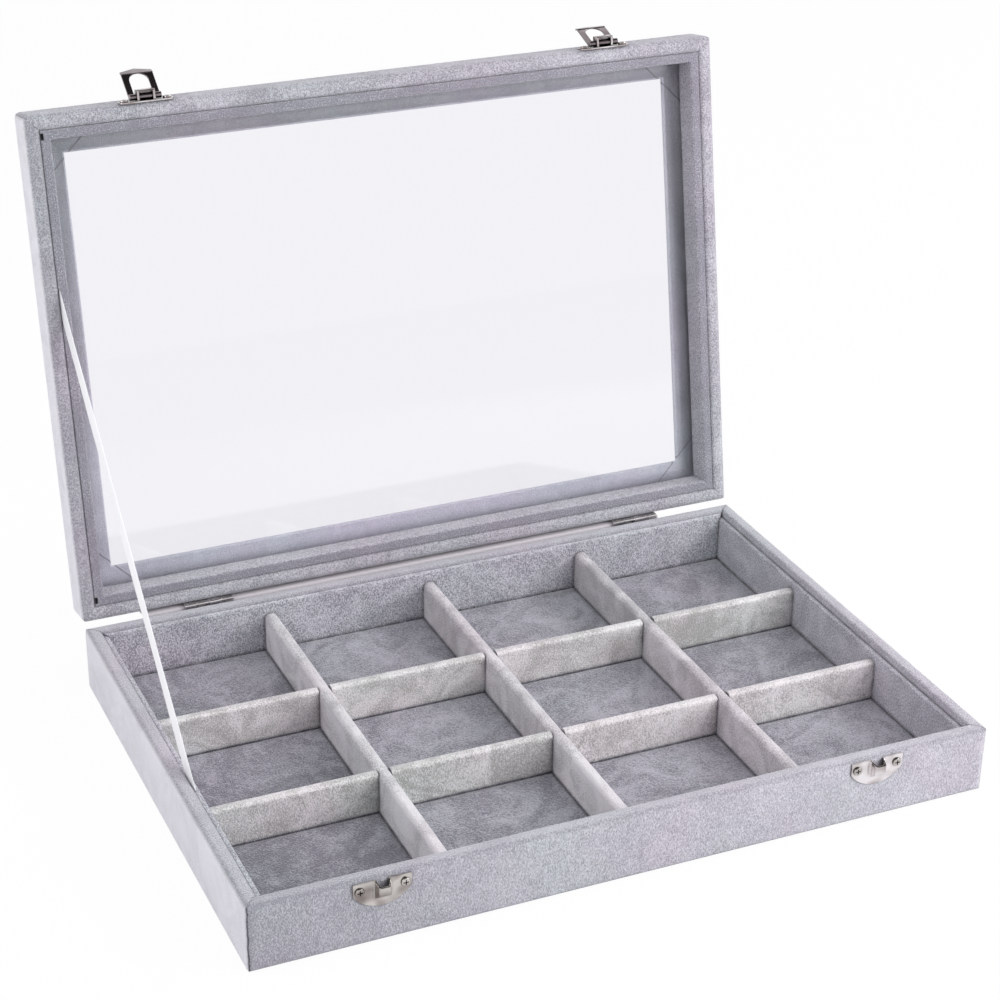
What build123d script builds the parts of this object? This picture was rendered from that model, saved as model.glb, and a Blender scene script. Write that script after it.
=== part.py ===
from build123d import *
import os
from math import atan2, cos, degrees, hypot, radians, sin

# Velvet jewelry tray with a hinged glass lid, in millimetres.
# X runs along the tray, Y from front to back and Z up, from the middle of the underside.
# The lid stands open at rest, where its ribbon stay holds it.

# Case
CASE_LENGTH = 350.0
CASE_DEPTH = 243.0
BASE_HEIGHT = 33.0
LID_HEIGHT = 19.0
LID_GAP = 0.4
WALL = 7.5
CORNER_ROUND = 3.6
EDGE_ROUND = 3.0
RIM_ROUND = 2.6
SEAM_ROUND = 0.5
BOTTOM_BOARD = 3.0

# Lining of the base
LINER = 2.5
LINER_DROP_FRONT = 4.0
LINER_DROP_RIGHT = 3.2
LINER_DROP_BACK = 1.2
LINER_DROP_LEFT = 2.2
LINING_ROUND = 1.0
FLOOR_PAD = 4.0

# Dividers
CELLS_ALONG = 4
CELLS_DEEP = 3
DIVIDER = 6.0
CROSS_DIVIDER = 5.0
DIVIDER_HEIGHT = 19.5
CROSS_SHIFT = 2.0
LAP_PLAY = 0.2

# Lid
STRIP = 4.5
STRIP_DROP = 0.4
GLASS = 3.0
GLASS_PLAY = 0.3
TOP_FRAME = 2.5
WINDOW_BORDER = 8.75

# Hinges on the back
LID_OPEN_ANGLE = 100.2
HINGE_INSET_LEFT = 63.2
HINGE_INSET_RIGHT = 54.5
HINGE_LENGTH = 25.0
KNUCKLES = 4
KNUCKLE_RADIUS = 0.95
KNUCKLE_GAP = 0.1
HINGE_STANDOFF = 0.05
PIN_RADIUS = 0.4
PIN_PLAY = 0.05
LEAF = 0.5
LEAF_HEIGHT = 7.5
LEAF_CLEARANCE = 0.15
NAIL_SPACING = 16.0
NAIL_RADIUS = 0.6
NAIL_LENGTH = 5.0
NAIL_HEAD_RADIUS = 1.2
NAIL_HEAD = 0.4

# Catches on the front of the base
LATCH_INSET = 58.4
CATCH_WIDTH = 25.8
CATCH_HEIGHT = 12.6
CATCH_EAR = 5.6
CATCH_DROP = 1.5
SHEET = 0.7
CATCH_SCREW_SPACING = 20.0
CATCH_SCREW_DROP = 3.8
BUMP_WIDTH = 7.2
BUMP_HEIGHT = 9.0
BUMP_REACH = 4.6
BUMP_TOP_SLOPE = 1.8
BUMP_FACE = 4.0
BUMP_TAPER = 1.1
BUMP_ROUND = 1.5
BUMP_ROOT_ROUND = 0.9

# Hasps on the front of the lid
HASP_LENGTH = 26.0
HASP_HEIGHT = 6.4
HASP_RISE = 0.1
HASP_SCREW_SPACING = 20.4
HASP_BAR_RADIUS = 1.5
HASP_BAR_PLAY = 0.05
HASP_SIDE_PLAY = 0.3
HASP_LOOP_REACH = 5.6
HASP_LOOP_ROUND = 0.8
HASP_LOOP_CHEEK = 1.0
FLAP = 0.8
FLAP_LEG = 2.9
FLAP_END = 0.4
FLAP_LIP = 1.8
FLAP_LIP_POINT = 3.2
FLAP_LIP_ANGLE = 30.0
WINDOW_PLAY = 1.0
WINDOW_END_PLAY = 0.3
HASP_LEFT_ANGLE = 136.0
HASP_RIGHT_ANGLE = 152.0

# Screws of the catches and hasps
SCREW_RADIUS = 1.0
SCREW_LENGTH = 6.0
SCREW_HEAD_RADIUS = 2.0
SCREW_HEAD = 0.9
SCREW_HEAD_ROUND = 0.5
CROSS_LENGTH = 2.4
CROSS_WIDTH = 0.5
CROSS_DEPTH = 0.6

# Ribbon stay at the left end, measured back from the front face and along the lid
RIBBON_WIDTH = 10.5
RIBBON = 0.4
RIBBON_BASE_FROM_FRONT = 99.5
RIBBON_LID_FROM_BACK = 153.0
RIBBON_TUCK = 8.0
RIBBON_PLAY = 0.3

# Cloth strip over the hinges
CLOTH = 0.7
CLOTH_LEFT_INSET = 30.0
CLOTH_RIGHT_INSET = 40.5
CLOTH_GLUE = 7.0
CLOTH_STANDOFF = 0.3
CLOTH_SLOPE = 1.5
CLOTH_BEND = 0.9

# Places worked out from the sizes above
INNER_LENGTH = CASE_LENGTH - 2 * WALL
INNER_DEPTH = CASE_DEPTH - 2 * WALL
CELL_AREA_LENGTH = INNER_LENGTH - 2 * LINER
CELL_AREA_DEPTH = INNER_DEPTH - 2 * LINER
FLOOR_TOP = BOTTOM_BOARD + FLOOR_PAD
MATING_Z = BASE_HEIGHT + LID_GAP
FRONT_Y = -CASE_DEPTH / 2
BACK_Y = CASE_DEPTH / 2
GLASS_Z = MATING_Z + LID_HEIGHT - TOP_FRAME - GLASS
HINGE_Y = BACK_Y + HINGE_STANDOFF + KNUCKLE_RADIUS
HINGE_Z = BASE_HEIGHT + LID_GAP / 2
CATCH_TOP = BASE_HEIGHT - CATCH_DROP
HASP_LOW = MATING_Z + HASP_RISE
HASP_Z = HASP_LOW + HASP_HEIGHT / 2
HASP_BORE = HASP_BAR_RADIUS + HASP_BAR_PLAY
HASP_Y = FRONT_Y - SHEET - HASP_BAR_PLAY - HASP_BORE
WINDOW_HALF = BUMP_WIDTH / 2 + WINDOW_PLAY
WINDOW_END = HASP_Z - CATCH_TOP + BUMP_HEIGHT + WINDOW_END_PLAY
FLAP_HALF = WINDOW_HALF + FLAP_LEG
BRACKET_HALF = WINDOW_HALF - HASP_SIDE_PLAY
HINGE_AXIS = Axis((0, HINGE_Y, HINGE_Z), (-1, 0, 0))
HASP_AXIS = Axis((0, HASP_Y, HASP_Z), (-1, 0, 0))


def open_lid(shape):
    """Turns a shape from the closed lid to the lid's rest, open against the ribbon."""
    return shape.rotate(HINGE_AXIS, LID_OPEN_ANGLE)


def opened_point(y, z):
    """Y and Z of a point of the closed lid once the lid stands open."""
    angle = radians(LID_OPEN_ANGLE)
    from_y = y - HINGE_Y
    from_z = z - HINGE_Z
    open_y = HINGE_Y + from_y * cos(angle) + from_z * sin(angle)
    open_z = HINGE_Z + from_z * cos(angle) - from_y * sin(angle)
    return open_y, open_z


def block(x_range, y_range, z_range):
    """A plain block between two values on each axis."""
    spans = [high - low for low, high in (x_range, y_range, z_range)]
    middles = [(low + high) / 2 for low, high in (x_range, y_range, z_range)]
    return Pos(*middles) * Box(*spans)


def rod_along_y(radius, y_range, x, z):
    """A round rod or hole that runs along Y."""
    low, high = y_range
    return Pos(x, (low + high) / 2, z) * Rot(90, 0, 0) * Cylinder(radius, high - low)


def rod_along_x(radius, x_range, y, z):
    """A round rod or hole that runs along X."""
    low, high = x_range
    return Pos((low + high) / 2, y, z) * Rot(0, 90, 0) * Cylinder(radius, high - low)


def frame_sides(length, depth):
    """Name, length and place of the four sides of a rectangular frame."""
    return [
        ("front", length, Pos(0, -depth / 2, 0)),
        ("right", depth, Pos(length / 2, 0, 0) * Rot(0, 0, 90)),
        ("back", length, Pos(0, depth / 2, 0) * Rot(0, 0, 180)),
        ("left", depth, Pos(-length / 2, 0, 0) * Rot(0, 0, -90)),
    ]


def mitred_bar(length, width, height, rounds):
    """One side of a frame, its outer face on y = 0, with mitred ends and rounded long edges."""
    half = length / 2
    outline = Polygon((-half, 0), (half, 0), (half - width, width), (-half + width, width), align=None)
    bar = extrude(outline, height)
    outer, inner_low, inner_high = [min(radius, 0.4 * width, 0.4 * height) for radius in rounds]
    bar = fillet(bar.edges().filter_by(Axis.X).group_by(Axis.Y)[0], outer)
    bar = fillet(inner_edges(bar)[0], inner_low)
    return fillet(inner_edges(bar)[-1], inner_high)


def inner_edges(bar):
    """The long edges of a mitred bar's inner face, from low to high."""
    return bar.edges().filter_by(Axis.X).group_by(Axis.Y)[-1].sort_by(Axis.Z)


def mitred_frame(prefix, length, depth, width, z_range, rounds):
    """Four mitred bars round a rectangle, as a dictionary of named solids.

    The rounds are the radii of the outer edges, of the lower inner edge and of the upper inner edge.
    """
    low, high = z_range
    sides = {}
    for name, bar_length, place in frame_sides(length, depth):
        sides[prefix + name] = Pos(0, 0, low) * place * mitred_bar(bar_length, width, high - low, rounds)
    return sides


def round_case_corners(sides, z_range):
    """Rounds the four upright corners that the bars of a frame share."""
    low, high = z_range
    outline = RectangleRounded(CASE_LENGTH, CASE_DEPTH, CORNER_ROUND)
    envelope = Pos(0, 0, low) * extrude(outline, high - low)
    return {name: bar & envelope for name, bar in sides.items()}


def divider_places():
    """Middles of the front to back dividers along X, and of the cross dividers along Y."""
    cell_length = (CELL_AREA_LENGTH - (CELLS_ALONG - 1) * DIVIDER) / CELLS_ALONG
    cell_depth = (CELL_AREA_DEPTH - (CELLS_DEEP - 1) * CROSS_DIVIDER) / CELLS_DEEP
    along = [(i - CELLS_ALONG / 2) * (cell_length + DIVIDER) for i in range(1, CELLS_ALONG)]
    deep = [(i - CELLS_DEEP / 2) * (cell_depth + CROSS_DIVIDER) - CROSS_SHIFT for i in range(1, CELLS_DEEP)]
    return along, deep


def divider_blank(length, thickness):
    """A velvet covered board along X, on the floor pad, with a rounded top edge."""
    half = thickness / 2
    board = block((-length / 2, length / 2), (-half, half), (FLOOR_TOP, FLOOR_TOP + DIVIDER_HEIGHT))
    top_edges = board.faces().sort_by(Axis.Z)[-1].edges().filter_by(Axis.X)
    return fillet(top_edges, min(0.4 * thickness, 0.4 * DIVIDER_HEIGHT))


def dividers():
    """Crossing dividers, halved into each other: the front to back ones run through on top."""
    along, deep = divider_places()
    lap_z = FLOOR_TOP + DIVIDER_HEIGHT / 2
    lap_top = FLOOR_TOP + DIVIDER_HEIGHT + 1
    long_lap = CROSS_DIVIDER / 2 + LAP_PLAY
    cross_lap = DIVIDER / 2 + LAP_PLAY
    pieces = {}
    for number, x in enumerate(along, start=1):
        board = Pos(x, 0, 0) * Rot(0, 0, 90) * divider_blank(CELL_AREA_DEPTH, DIVIDER)
        for y in deep:
            board -= block((x - DIVIDER, x + DIVIDER), (y - long_lap, y + long_lap), (FLOOR_TOP - 1, lap_z))
        pieces[f"divider_long_{number}"] = board
    for number, y in enumerate(deep, start=1):
        board = Pos(0, y, 0) * divider_blank(CELL_AREA_LENGTH, CROSS_DIVIDER)
        for x in along:
            side = (y - CROSS_DIVIDER, y + CROSS_DIVIDER)
            board -= block((x - cross_lap, x + cross_lap), side, (lap_z, lap_top))
        pieces[f"divider_cross_{number}"] = board
    return pieces


def latch_places():
    """Side name and middle of each catch and hasp along X."""
    middle = CASE_LENGTH / 2 - LATCH_INSET
    return [("left", -middle), ("right", middle)]


def hinge_places():
    """Side name and middle of each hinge along X."""
    half = CASE_LENGTH / 2
    return [("left", -half + HINGE_INSET_LEFT), ("right", half - HINGE_INSET_RIGHT)]


def pair(middle, spacing):
    """Two places either side of a middle, named from the tray's centre outwards."""
    outward = 1 if middle > 0 else -1
    return [("inner", middle - outward * spacing / 2), ("outer", middle + outward * spacing / 2)]


def catch_screws():
    """Name, x and z of the four catch screws."""
    z = CATCH_TOP - CATCH_SCREW_DROP
    return [
        (f"catch_{side}_screw_{place}", x, z)
        for side, middle in latch_places()
        for place, x in pair(middle, CATCH_SCREW_SPACING)
    ]


def hasp_screws():
    """Name, x and z of the four hasp screws, with the lid closed."""
    return [
        (f"hasp_{side}_screw_{place}", x, HASP_Z)
        for side, middle in latch_places()
        for place, x in pair(middle, HASP_SCREW_SPACING)
    ]


def hinge_nails(leaf, z):
    """Name, x and z of the nails of both hinges' leaves on one side of the joint."""
    return [
        (f"hinge_{side}_{leaf}_nail_{place}", x, z)
        for side, middle in hinge_places()
        for place, x in pair(middle, NAIL_SPACING)
    ]


BASE_NAIL_Z = HINGE_Z - KNUCKLE_RADIUS - (LEAF_HEIGHT - KNUCKLE_RADIUS) / 2
LID_NAIL_Z = 2 * HINGE_Z - BASE_NAIL_Z


def bore_screws(wall, screws):
    """Cuts the screws' holes in a front wall."""
    for _, x, z in screws:
        wall -= rod_along_y(SCREW_RADIUS, (FRONT_Y - 1, FRONT_Y - SHEET + SCREW_LENGTH), x, z)
    return wall


def bore_nails(wall, nails):
    """Cuts the nails' holes in a back wall."""
    for _, x, z in nails:
        wall -= rod_along_y(NAIL_RADIUS, (BACK_Y + LEAF - NAIL_LENGTH, BACK_Y + 1), x, z)
    return wall


def screw(x, z):
    """A pan head screw with a cross recess, driven in from the front."""
    seat = FRONT_Y - SHEET
    shank = rod_along_y(SCREW_RADIUS, (seat, seat + SCREW_LENGTH), x, z)
    head = rod_along_y(SCREW_HEAD_RADIUS, (seat - SCREW_HEAD, seat), x, z)
    head = fillet(head.edges().sort_by(Axis.Y)[0], min(SCREW_HEAD_ROUND, 0.6 * SCREW_HEAD))
    face = (seat - SCREW_HEAD - 1, seat - SCREW_HEAD + min(CROSS_DEPTH, 0.8 * SCREW_HEAD))
    arm = CROSS_LENGTH / 2
    half_width = CROSS_WIDTH / 2
    cross = block((x - arm, x + arm), face, (z - half_width, z + half_width))
    cross += block((x - half_width, x + half_width), face, (z - arm, z + arm))
    return head + shank - cross


def nail(x, z):
    """A short flat headed nail, driven in from the back."""
    seat = BACK_Y + LEAF
    shank = rod_along_y(NAIL_RADIUS, (seat - NAIL_LENGTH, seat), x, z)
    return shank + rod_along_y(NAIL_HEAD_RADIUS, (seat, seat + NAIL_HEAD), x, z)


def ribbon_ends():
    """Y and Z of the ribbon's middle where it leaves the base and the open lid."""
    base_end = (FRONT_Y + RIBBON_BASE_FROM_FRONT, BASE_HEIGHT)
    return base_end, opened_point(BACK_Y - RIBBON_LID_FROM_BACK, MATING_Z)


def ribbon(play=0.0):
    """A flat ribbon along the left wall, straight between its tucked ends, or the room for it."""
    (base_y, base_z), (lid_y, lid_z) = ribbon_ends()
    free_length = hypot(lid_y - base_y, lid_z - base_z)
    slope = degrees(atan2(lid_z - base_z, lid_y - base_y))
    outline = Rectangle(free_length + 2 * (RIBBON_TUCK + play), RIBBON_WIDTH + 2 * play)
    middle = Pos((base_y + lid_y) / 2, (base_z + lid_z) / 2)
    outline = Plane.YZ * middle * Rot(0, 0, slope) * outline
    strip = extrude(outline, RIBBON / 2 + play, dir=(1, 0, 0), both=True)
    return Pos(-INNER_LENGTH / 2 + RIBBON_PLAY + RIBBON / 2, 0, 0) * strip


def base_shell():
    """Bottom board and the four velvet covered walls round it."""
    z_range = (0, BASE_HEIGHT)
    half_x = INNER_LENGTH / 2
    half_y = INNER_DEPTH / 2
    pieces = {"base_bottom_board": block((-half_x, half_x), (-half_y, half_y), (0, BOTTOM_BOARD))}
    rounds = (EDGE_ROUND, SEAM_ROUND, RIM_ROUND)
    walls = mitred_frame("base_wall_", CASE_LENGTH, CASE_DEPTH, WALL, z_range, rounds)
    walls = round_case_corners(walls, z_range)
    walls["base_wall_front"] = bore_screws(walls["base_wall_front"], catch_screws())
    walls["base_wall_back"] = bore_nails(walls["base_wall_back"], hinge_nails("base", BASE_NAIL_Z))
    return pieces | walls


def base_lining():
    """Floor pad and the four lining panels, each a little lower than the rim."""
    half_x = CELL_AREA_LENGTH / 2
    half_y = CELL_AREA_DEPTH / 2
    pieces = {"floor_pad": block((-half_x, half_x), (-half_y, half_y), (BOTTOM_BOARD, FLOOR_TOP))}
    drops = {
        "front": LINER_DROP_FRONT,
        "right": LINER_DROP_RIGHT,
        "back": LINER_DROP_BACK,
        "left": LINER_DROP_LEFT,
    }
    rounds = (SEAM_ROUND, SEAM_ROUND, LINING_ROUND)
    for side, length, place in frame_sides(INNER_LENGTH, INNER_DEPTH):
        height = BASE_HEIGHT - drops[side] - BOTTOM_BOARD
        panel = mitred_bar(length, LINER, height, rounds)
        pieces[f"base_liner_{side}"] = Pos(0, 0, BOTTOM_BOARD) * place * panel
    pieces["base_liner_left"] -= ribbon(RIBBON_PLAY)
    return pieces


def lid_frame():
    """Lid rails, top frame round the window, glass and the strips that hold it, closed."""
    top = MATING_Z + LID_HEIGHT
    z_range = (MATING_Z, top)
    rail_rounds = (EDGE_ROUND, RIM_ROUND, SEAM_ROUND)
    rails = mitred_frame("lid_rail_", CASE_LENGTH, CASE_DEPTH, WALL, z_range, rail_rounds)
    rails = round_case_corners(rails, z_range)
    rails["lid_rail_front"] = bore_screws(rails["lid_rail_front"], hasp_screws())
    rails["lid_rail_back"] = bore_nails(rails["lid_rail_back"], hinge_nails("lid", LID_NAIL_Z))
    border = STRIP + WINDOW_BORDER
    top_rounds = (SEAM_ROUND, LINING_ROUND, LINING_ROUND)
    tops = mitred_frame("lid_top_", INNER_LENGTH, INNER_DEPTH, border, (top - TOP_FRAME, top), top_rounds)
    strip_z = (MATING_Z + STRIP_DROP, GLASS_Z)
    strip_rounds = (SEAM_ROUND, LINING_ROUND, SEAM_ROUND)
    strips = mitred_frame("lid_strip_", INNER_LENGTH, INNER_DEPTH, STRIP, strip_z, strip_rounds)
    half_x = INNER_LENGTH / 2 - GLASS_PLAY
    half_y = INNER_DEPTH / 2 - GLASS_PLAY
    pane = {"lid_glass": block((-half_x, half_x), (-half_y, half_y), (GLASS_Z, GLASS_Z + GLASS))}
    return rails | tops | strips | pane


def catch(middle):
    """A pressed plate on the front wall, with a hollow bump that is open on top."""
    half = CATCH_WIDTH / 2
    ear_z = CATCH_TOP - CATCH_EAR
    low_z = CATCH_TOP - CATCH_HEIGHT
    left = (middle - half, ear_z)
    right = (middle + half, ear_z)
    outline = Polyline(left, (middle - half, CATCH_TOP), (middle + half, CATCH_TOP), right)
    outline += ThreePointArc(right, (middle, low_z), left)
    wall_plane = Plane.XZ.offset(-FRONT_Y)
    body = extrude(wall_plane * make_face(outline), SHEET) + wall_plane * bump(middle, BUMP_REACH, 0)
    body = fillet(bump_root_edges(body, middle), BUMP_ROOT_ROUND)
    body -= wall_plane * bump(middle, BUMP_REACH - SHEET, SHEET)
    for _, x in pair(middle, CATCH_SCREW_SPACING):
        body -= rod_along_y(SCREW_RADIUS, (FRONT_Y - 2 * SHEET, FRONT_Y + 1), x, CATCH_TOP - CATCH_SCREW_DROP)
    return body


def bump(middle, reach, skin):
    """A tapered bump standing out of a plate's back, or its hollow, a skin smaller and open on top."""
    half_root = BUMP_WIDTH / 2 - skin
    half_face = BUMP_WIDTH / 2 - BUMP_TAPER - skin
    open_top = BUMP_TOP_SLOPE if skin else 0
    root_z = (CATCH_TOP - BUMP_HEIGHT + skin, CATCH_TOP + open_top)
    face_top = CATCH_TOP - BUMP_TOP_SLOPE
    face_z = (face_top - BUMP_FACE + skin, face_top + open_top)
    root = Pos(middle, sum(root_z) / 2, 0) * Rectangle(2 * half_root, root_z[1] - root_z[0])
    face = Pos(middle, sum(face_z) / 2, reach) * Rectangle(2 * half_face, face_z[1] - face_z[0])
    body = loft([root, face])
    front = body.faces().sort_by(Axis.Z)[-1]
    return fillet(front.edges().sort_by(Axis.Y)[:-1], BUMP_ROUND - skin / 2)


def bump_root_edges(body, middle):
    """The edges where a catch's bump meets the front of its plate."""
    near = BUMP_WIDTH / 2
    low = CATCH_TOP - BUMP_HEIGHT
    edges = body.edges().filter_by_position(Axis.Y, FRONT_Y - SHEET - 0.01, FRONT_Y - SHEET + 0.01)
    edges = edges.filter_by_position(Axis.X, middle - near, middle + near)
    return edges.filter_by_position(Axis.Z, low, CATCH_TOP - SHEET)


def hasp_bracket(middle):
    """A plate on the lid's front wall and a raised loop, open below, that holds the flap's bar, closed."""
    half = HASP_LENGTH / 2
    outline = Pos(middle, HASP_Z) * RectangleRounded(2 * half, HASP_HEIGHT, 0.35 * HASP_HEIGHT)
    plate = extrude(Plane.XZ.offset(-FRONT_Y) * outline, SHEET)
    loop_half = HASP_BORE + SHEET
    loop_x = (middle - BRACKET_HALF, middle + BRACKET_HALF)
    end_y = FRONT_Y - HASP_LOOP_REACH
    loop = block(loop_x, (end_y, FRONT_Y), (HASP_Z - loop_half, HASP_Z + loop_half))
    loop = fillet(loop.edges().filter_by(Axis.X).group_by(Axis.Y)[0], HASP_LOOP_ROUND)
    cheek = BRACKET_HALF - HASP_LOOP_CHEEK
    slot_z = (HASP_Z - loop_half - 1, HASP_Z)
    loop -= block((middle - cheek, middle + cheek), (end_y + SHEET, FRONT_Y - SHEET), slot_z)
    body = plate + loop - rod_along_x(HASP_BORE, (middle - FLAP_HALF, middle + FLAP_HALF), HASP_Y, HASP_Z)
    for _, x in pair(middle, HASP_SCREW_SPACING):
        body -= rod_along_y(SCREW_RADIUS, (FRONT_Y - 2 * SHEET, FRONT_Y + 1), x, HASP_Z)
    return body


def hasp_flap(middle):
    """The hasp's swinging plate, latched: a bar, two legs round an arched window and a pointed lip."""
    bar = rod_along_x(HASP_BAR_RADIUS, (middle - FLAP_HALF, middle + FLAP_HALF), HASP_Y, HASP_Z)
    face_y = HASP_Y - HASP_BAR_RADIUS
    end_z = HASP_Z - WINDOW_END - FLAP_END
    plate = block((middle - FLAP_HALF, middle + FLAP_HALF), (face_y, face_y + FLAP), (end_z, HASP_Z))
    arch_z = HASP_Z - WINDOW_END + WINDOW_HALF
    window_y = (face_y - 1, face_y + FLAP + 1)
    window = block((middle - WINDOW_HALF, middle + WINDOW_HALF), window_y, (arch_z, HASP_Z))
    window += rod_along_y(WINDOW_HALF, window_y, middle, arch_z)
    point = (0, -FLAP_LIP - FLAP_LIP_POINT)
    corners = [(-FLAP_HALF, 0), (-FLAP_HALF, -FLAP_LIP), point, (FLAP_HALF, -FLAP_LIP), (FLAP_HALF, 0)]
    lip = extrude(Plane.XZ * Polygon(*corners, align=None), FLAP)
    fold_x = (-FLAP_HALF, FLAP_HALF)
    fold = rod_along_x(FLAP, fold_x, 0, 0) & block(fold_x, (-FLAP, 0), (-FLAP, FLAP))
    lip = Rot(-FLAP_LIP_ANGLE, 0, 0) * (lip + fold)
    return plate - window + bar + Pos(middle, face_y + FLAP, end_z) * lip


def hinge_leaf(middle, outward, first):
    """A hinge leaf on the back wall with every second knuckle, below the pin or, outward, above."""
    half = HINGE_LENGTH / 2
    pitch = HINGE_LENGTH / KNUCKLES
    edge = HINGE_Z + outward * (KNUCKLE_RADIUS + LEAF_CLEARANCE)
    far = HINGE_Z + outward * LEAF_HEIGHT
    leaf_y = (BACK_Y, BACK_Y + LEAF)
    leaf = block((middle - half, middle + half), leaf_y, (min(edge, far), max(edge, far)))
    for number in range(first, KNUCKLES, 2):
        low = middle - half + number * pitch + KNUCKLE_GAP / 2
        span = (low, low + pitch - KNUCKLE_GAP)
        leaf += block(span, leaf_y, (min(edge, HINGE_Z), max(edge, HINGE_Z)))
        leaf += rod_along_x(KNUCKLE_RADIUS, span, HINGE_Y, HINGE_Z)
    play = PIN_PLAY if outward > 0 else 0
    leaf -= rod_along_x(PIN_RADIUS + play, (middle - half - 1, middle + half + 1), HINGE_Y, HINGE_Z)
    nail_z = LID_NAIL_Z if outward > 0 else BASE_NAIL_Z
    for _, x in pair(middle, NAIL_SPACING):
        leaf -= rod_along_y(NAIL_RADIUS, (BACK_Y - 1, BACK_Y + LEAF + 1), x, nail_z)
    return leaf


def hinge_pin(middle):
    """The pin that both leaves' knuckles turn on, tight in the base leaf."""
    half = HINGE_LENGTH / 2
    return rod_along_x(PIN_RADIUS, (middle - half, middle + half), HINGE_Y, HINGE_Z)


def cloth_strip():
    """Cloth glued to the back walls below and above the hinges, bridging the open gap."""
    free = LEAF + NAIL_HEAD + CLOTH_STANDOFF
    glue_end = LEAF_HEIGHT + CLOTH_STANDOFF + CLOTH_SLOPE
    heights = (glue_end + CLOTH_GLUE, glue_end, glue_end - CLOTH_SLOPE, KNUCKLE_RADIUS + CLOTH_BEND)
    base_side = list(zip((0, 0, free, free), heights))
    lid_side = list(zip((CLOTH_STANDOFF, CLOTH_STANDOFF, free, free), heights))
    base_inner = [(BACK_Y + y, HINGE_Z - z) for y, z in base_side]
    base_outer = [(y + CLOTH, z) for y, z in base_inner]
    lid_inner = [opened_point(BACK_Y + y, HINGE_Z + z) for y, z in reversed(lid_side)]
    lid_outer = [opened_point(BACK_Y + y + CLOTH, HINGE_Z + z) for y, z in lid_side]
    outline = Polygon(*base_inner, *lid_inner, *lid_outer, *reversed(base_outer), align=None)
    low = -CASE_LENGTH / 2 + CLOTH_LEFT_INSET
    length = CASE_LENGTH - CLOTH_LEFT_INSET - CLOTH_RIGHT_INSET
    return Pos(low, 0, 0) * extrude(Plane.YZ * outline, length, dir=(1, 0, 0))


def base_hardware():
    """Catches, base hinge leaves, pins and what fastens them to the base."""
    pieces = {f"catch_{side}": catch(middle) for side, middle in latch_places()}
    pieces |= {name: screw(x, z) for name, x, z in catch_screws()}
    pieces |= {f"hinge_{side}_base_leaf": hinge_leaf(middle, -1, 0) for side, middle in hinge_places()}
    pieces |= {f"hinge_{side}_pin": hinge_pin(middle) for side, middle in hinge_places()}
    return pieces | {name: nail(x, z) for name, x, z in hinge_nails("base", BASE_NAIL_Z)}


def lid_hardware():
    """Hasp brackets, lid hinge leaves and what fastens them to the lid, closed."""
    pieces = {f"hasp_{side}_bracket": hasp_bracket(middle) for side, middle in latch_places()}
    pieces |= {name: screw(x, z) for name, x, z in hasp_screws()}
    pieces |= {f"hinge_{side}_lid_leaf": hinge_leaf(middle, 1, 1) for side, middle in hinge_places()}
    return pieces | {name: nail(x, z) for name, x, z in hinge_nails("lid", LID_NAIL_Z)}


def hasp_flaps():
    """Both flaps, turned from latched to where the open tray shows them, lid still closed."""
    angles = {"left": HASP_LEFT_ANGLE, "right": HASP_RIGHT_ANGLE}
    return {
        f"hasp_{side}_flap": hasp_flap(middle).rotate(HASP_AXIS, angles[side])
        for side, middle in latch_places()
    }


tray = base_shell() | base_lining() | dividers() | base_hardware()
tray["ribbon_stay"] = ribbon()
tray["back_cloth"] = cloth_strip()
for name, shape in (lid_frame() | lid_hardware() | hasp_flaps()).items():
    tray[name] = open_lid(shape)
tray["lid_strip_left"] -= ribbon(RIBBON_PLAY)

os.makedirs("parts", exist_ok=True)
for name, shape in tray.items():
    export_step(shape, f"parts/{name}.step")
print(len(tray), "parts")
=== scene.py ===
# Jewelry display tray: a velvet covered case, 350 by 243 mm, that stands open. The base has twelve
# compartments and the lid a glass window. A ribbon holds the lid, and two hasps shut on two catches.
from math import cos, pi, radians, sin

import bpy
import numpy as np
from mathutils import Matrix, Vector


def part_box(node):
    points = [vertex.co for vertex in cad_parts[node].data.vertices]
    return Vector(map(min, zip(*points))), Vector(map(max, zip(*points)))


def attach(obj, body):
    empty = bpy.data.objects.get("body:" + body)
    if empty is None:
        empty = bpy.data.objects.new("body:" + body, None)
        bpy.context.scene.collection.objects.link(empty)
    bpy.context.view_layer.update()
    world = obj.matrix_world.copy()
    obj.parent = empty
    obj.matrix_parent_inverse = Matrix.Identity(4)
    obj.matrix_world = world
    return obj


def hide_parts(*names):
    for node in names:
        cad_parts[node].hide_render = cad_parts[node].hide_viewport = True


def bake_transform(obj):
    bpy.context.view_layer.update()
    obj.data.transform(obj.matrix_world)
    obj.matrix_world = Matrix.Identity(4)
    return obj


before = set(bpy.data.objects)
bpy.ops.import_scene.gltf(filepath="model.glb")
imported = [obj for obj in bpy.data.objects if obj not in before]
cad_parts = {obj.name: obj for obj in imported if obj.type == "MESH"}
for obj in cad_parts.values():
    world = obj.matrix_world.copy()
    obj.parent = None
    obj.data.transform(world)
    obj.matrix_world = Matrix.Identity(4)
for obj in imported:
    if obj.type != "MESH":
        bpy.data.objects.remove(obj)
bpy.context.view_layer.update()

# BASE WALLS
# Four 7.5 mm boards mitred at the corners, covered in a short, dense velvet that is glued on and
# folded over the rim. The pile leans one way here and the other way there, which mottles the grey.
CASE_LENGTH = 0.350
CASE_DEPTH = 0.243
# The fold at each corner of the case lies where |x| - |y| is MITRE, and strays by FOLD_STRAY.
MITRE = (CASE_LENGTH - CASE_DEPTH) / 2
FOLD_STRAY = 0.0008
# How wide the patterns in the velvet are. Real clumps and tips are finer than a pixel, so both are
# drawn as coarse as they need to show.
CLUMP_MM = 0.7
TIP_MM = 0.6
BRUSHED_MM = 24
HUE_MM = 60
WAVER_MM = 5
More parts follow.
